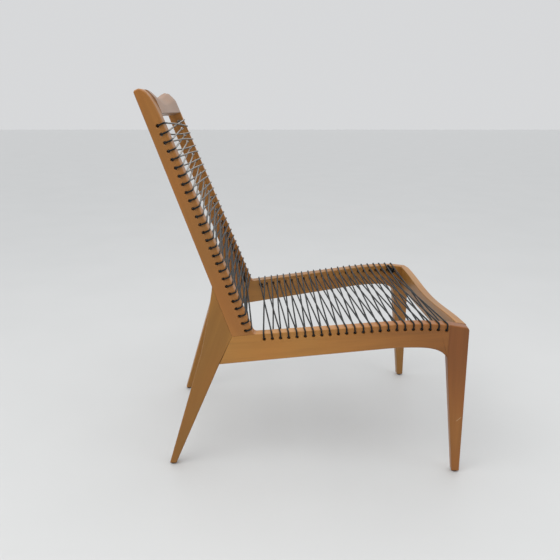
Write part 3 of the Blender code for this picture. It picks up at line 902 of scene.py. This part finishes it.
BANDS = (28, 28, 2.2)       # how finely each part of the grain is drawn, across, across and along
FIBRES = (420, 420, 11)
FLECKS = (900, 900, 75)
BLOTCHES = (7, 7, 5)


def grain_noise(g, grain, seed):
    """The broad bands, the fibres, the flecks and the blotches of a piece, each 0 to 1."""
    offset = (seed * 0.37, seed * 0.21, seed * 0.53)
    return (g.noise(g.mapped(BANDS, grain, offset), 1.0, 3, 0.5, 0.6),
            g.noise(g.mapped(FIBRES, grain, offset), 1.0, 4, 0.6, 0.2),
            g.noise(g.mapped(FLECKS, grain, offset), 1.0, 2, 0.5),
            g.noise(g.mapped(BLOTCHES, grain, offset), 1.0, 2, 0.5))


def wood_colour(g, base, broad, fine, spots, blotch):
    warm = (base[0] * 1.05, base[1] * 0.86, base[2] * 0.72)
    lines = g.math("MULTIPLY", g.ramp(fine, 0.30, 0.72), 0.30)
    dark = g.math("MULTIPLY", spots, 0.35)
    patches = g.math("MULTIPLY", g.ramp(blotch, 0.35, 0.70), 0.45)
    colour = g.mix(g.ramp(broad, 0.34, 0.68), rgba(shade(base, 0.84)), rgba(shade(base, 1.13)))
    colour = g.mix(lines, colour, rgba(shade(base, 0.70)))
    colour = g.mix(dark, colour, rgba(shade(base, 0.48)))
    return g.mix(patches, colour, rgba(warm))


def wood(name, base, grain, seed, roughness=0.36, marks=None):
    """Satin-lacquered beech: long soft grain, short dark flecks and slow changes of tone.

    grain is the rotation that brings the piece's length to Z. marks adds to the colour.
    """
    g = material_graph(name)
    broad, fine, flecks, blotch = grain_noise(g, grain, seed)
    spots = g.ramp(flecks, 0.66, 0.78)
    colour = wood_colour(g, base, broad, fine, spots, blotch)
    if marks:
        colour = marks(g, colour)
    g.feed(g.shader.inputs["Base Color"], colour)
    rough = g.math("ADD", roughness, g.math("MULTIPLY", blotch, 0.10))
    g.feed(g.shader.inputs["Roughness"], rough)
    g.shader.inputs["Coat Weight"].default_value = 0.12
    g.shader.inputs["Coat Roughness"].default_value = 0.20
    g.shader.inputs["Specular IOR Level"].default_value = 0.35
    height = g.math("ADD", g.math("MULTIPLY", fine, 0.6), g.math("MULTIPLY", spots, -0.6))
    g.bump(height, 0.16, 0.0004)
    return g.owner


BRAID_LAY = 0.0042          # length of one turn of the braid
BRAID_STRANDS = 4           # in each direction
PAINTED_LIGHT_START = 0.48           # the height where the painted light on the cords' upper sides starts
PAINTED_LIGHT_FULL = 0.74


def cord_material():
    """Black braided cord. Towards the head of the back, its upward faces are painted pale as painted
    light, standing in for the light they catch from above.

    Only what lies between the stiles is painted so. The turns round the near stile stay black.
    """
    g = material_graph("laced cord")
    along = g.node("ShaderNodeAttribute", attribute_name="along").outputs["Fac"]
    turned = g.node("ShaderNodeAttribute", attribute_name="turned").outputs["Fac"]
    lay = g.math("MULTIPLY", along, 2 * pi / BRAID_LAY)
    spin = g.math("MULTIPLY", turned, 2 * pi * BRAID_STRANDS)
    one = g.math("SINE", g.math("ADD", lay, spin))
    other = g.math("SINE", g.math("SUBTRACT", lay, spin))
    braid = g.math("MAXIMUM", one, other)
    level = g.ramp(braid, 0.0, 1.0)
    black = g.mix(level, rgba((0.006, 0.007, 0.007)), rgba((0.016, 0.018, 0.018)))
    surface = g.node("ShaderNodeTexCoord")
    height = g.part(surface.outputs["Object"], "Z")
    facing = g.part(surface.outputs["Normal"], "Z")
    between = g.ramp(g.part(surface.outputs["Object"], "X"), -0.195, -0.175)
    # painted light: the back's upward-facing cord surfaces, high up and between the stiles, are painted
    # pale for the light they catch
    painted_light = g.math("MULTIPLY", g.ramp(height, PAINTED_LIGHT_START, PAINTED_LIGHT_FULL), g.ramp(facing, 0.10, 0.75))
    painted_light = g.math("MULTIPLY", painted_light, between)
    g.feed(g.shader.inputs["Base Color"], g.mix(painted_light, black, rgba((0.42, 0.38, 0.33))))
    g.shader.inputs["Roughness"].default_value = 0.40
    g.shader.inputs["Specular IOR Level"].default_value = 0.16
    g.bump(level, 0.25, 0.0002)
    return g.owner


def glide_material():
    g = material_graph("glide plastic")
    wear = g.noise(g.mapped((1, 1, 1)), 900, 3, 0.6)
    colour = g.mix(g.ramp(wear, 0.45, 0.75), rgba((0.018, 0.016, 0.015)), rgba((0.075, 0.068, 0.06)))
    g.feed(g.shader.inputs["Base Color"], colour)
    g.shader.inputs["Roughness"].default_value = 0.5
    g.bump(wear, 0.2, 0.0002)
    return g.owner


def floor_material():
    g = material_graph("pale floor")
    tone = g.noise(g.mapped((1, 1, 1)), 3.0, 3, 0.5)
    colour = g.mix(tone, rgba((0.55, 0.557, 0.555)), rgba((0.585, 0.59, 0.588)))
    g.feed(g.shader.inputs["Base Color"], colour)
    g.shader.inputs["Roughness"].default_value = 0.55
    return g.owner


# ---------------------------------------------------------------- assembly

HONEY = (0.345, 0.160, 0.035)
AMBER = (0.372, 0.160, 0.036)
OLIVE = (0.335, 0.152, 0.028)
RUSSET = (0.226, 0.077, 0.0160)
TAN = (0.300, 0.165, 0.086)
PALE = (0.55, 0.38, 0.21)
RAIL_GRAIN = pi / 2 + 0.09          # how far the grain leans back from upright
REAR_LEG_GRAIN = radians(-18)


def build_side(side):
    name = SIDE_NAMES[side]
    seed = 1.0 if side == RIGHT else 9.0
    front_colour = RUSSET if side == RIGHT else HONEY
    marks = {"front_leg": leg_marks, "side_rail": rail_tone} if side == RIGHT else {}
    pieces = [
        ("stile", stile_outline(), [h for h, _ in back_holes()], None, AMBER, BACK_LEAN, "frame_wood"),
        ("side_rail", rail_outline(), [h for h, _ in seat_holes()], None, HONEY, RAIL_GRAIN, "frame_wood"),
        ("front_leg", front_leg_outline(), (), ARCH_END.y, front_colour, 0.0, "leg_wood"),
        ("rear_leg", rear_leg_outline(), (), MITRE_END.y, OLIVE, REAR_LEG_GRAIN, "frame_wood")]
    for number, (label, outline, holes, taper, colour, lean, slot) in enumerate(pieces):
        node = "%s_%s" % (label, name)
        plank = add_plank(node + "_timber", side, outline, holes, taper)
        material = wood(node + " wood", colour, (lean, 0, 0), seed + number, marks=marks.get(label))
        finish_piece(plank, material, slot, node)


def build_cross_rails():
    across = (0, pi / 2, 0)
    finish_piece(crest_rail(), wood("crest wood", TAN, across, 21), "crest_wood", "crest_rail")
    finish_piece(front_rail(), wood("front rail wood", HONEY, across, 22), "frame_wood", "front_rail")
    finish_piece(rear_rail(), wood("rear rail wood", AMBER, across, 23), "frame_wood", "rear_rail")


def build_lacing():
    material = cord_material()
    for panel, holes in (("seat", seat_holes()), ("back", back_holes())):
        add_cord(panel, 1, holes, RIGHT, material)
        add_cord(panel, 2, holes, LEFT, material)
        add_knots(panel, holes, material)


def build_glides():
    material = glide_material()
    for side in (RIGHT, LEFT):
        for label, foot in (("front", FRONT_FOOT_LENGTH / 2 - FRONT_FOOT_REACH),
                            ("rear", REAR_FOOT_REACH - REAR_FOOT_LENGTH / 2)):
            add_glide("glide_%s_%s" % (label, SIDE_NAMES[side]), side, foot, material)


def finish_dowels():
    material = wood("dowel wood", PALE, (0, 0, 0), 31, 0.6)
    for name, node in frame["nodes"].items():
        if "dowel" in name:
            node.data.materials.clear()
            node.data.materials.append(material)


# ---------------------------------------------------------------- setting

MIDDLE = Vector((0, 0, 0.4))
FLOOR_REACH = 24.0
CAMERA_PLACE = (-1.5137, 0.1283, 0.8112)
CAMERA_TURN = radians(-3.06)        # from straight across the chair
CAMERA_FALL = radians(15.53)        # how far it looks down
CAMERA_ROLL = radians(0.10)
CAMERA_LENS = 39.6
CAMERA_SENSOR = 36.0


def add_floor():
    bm = bmesh.new()
    bmesh.ops.create_grid(bm, x_segments=1, y_segments=1, size=FLOOR_REACH)
    floor_piece = link("floor", to_mesh("floor", bm))
    floor_piece.data.materials.append(floor_material())


def add_area(name, place, size, power, colour):
    """A soft lamp that shines on the middle of the chair."""
    light = bpy.data.lights.new(name, "AREA")
    light.energy = power
    light.shape = "RECTANGLE"
    light.size, light.size_y = size
    light.color = colour
    lamp = link(name, light)
    lamp.location = place
    lamp.rotation_euler = (MIDDLE - Vector(place)).to_track_quat("-Z", "Y").to_euler()


def add_room():
    """A pale room: bright overhead and behind the chair, dim on the side it is seen from."""
    backdrop = bpy.data.worlds.new("studio")
    g = Graph(backdrop, "Background")
    direction = g.node("ShaderNodeTexCoord").outputs["Generated"]
    across = g.ramp(g.part(direction, "X"), -0.7, 0.5, 0.22, 0.70)
    upward = g.ramp(g.part(direction, "Z"), 0.15, 0.85, 0.0, 0.70)
    g.shader.inputs["Color"].default_value = (0.975, 0.985, 1.0, 1.0)
    g.feed(g.shader.inputs["Strength"], g.math("ADD", across, upward))
    bpy.context.scene.world = backdrop


def add_lamps():
    add_area("ceiling", (-1.3, 0.9, 2.6), (2.4, 1.8), 34, (1.0, 0.985, 0.96))
    add_area("window", (-1.6, -2.4, 1.9), (1.8, 1.2), 13, (0.98, 0.99, 1.0))


def add_camera():
    data = bpy.data.cameras.new("camera")
    data.sensor_width = CAMERA_SENSOR
    data.lens = CAMERA_LENS
    camera = link("camera", data)
    yaw, pitch, roll = CAMERA_TURN, CAMERA_FALL, CAMERA_ROLL
    forward = Vector((cos(pitch) * cos(yaw), cos(pitch) * sin(yaw), -sin(pitch)))
    right = Vector((sin(yaw), -cos(yaw), 0))
    up = right.cross(forward)
    turned_right = right * cos(roll) + up * sin(roll)
    turned_up = up * cos(roll) - right * sin(roll)
    rotation = Matrix((turned_right, turned_up, -forward)).transposed()
    camera.matrix_world = Matrix.Translation(CAMERA_PLACE) @ rotation.to_4x4()
    bpy.context.scene.camera = camera
    bpy.context.scene.view_settings.view_transform = "Standard"


build_side(RIGHT)
build_side(LEFT)
build_cross_rails()
build_lacing()
build_glides()
finish_dowels()
add_floor()
add_room()
add_lamps()
add_camera()
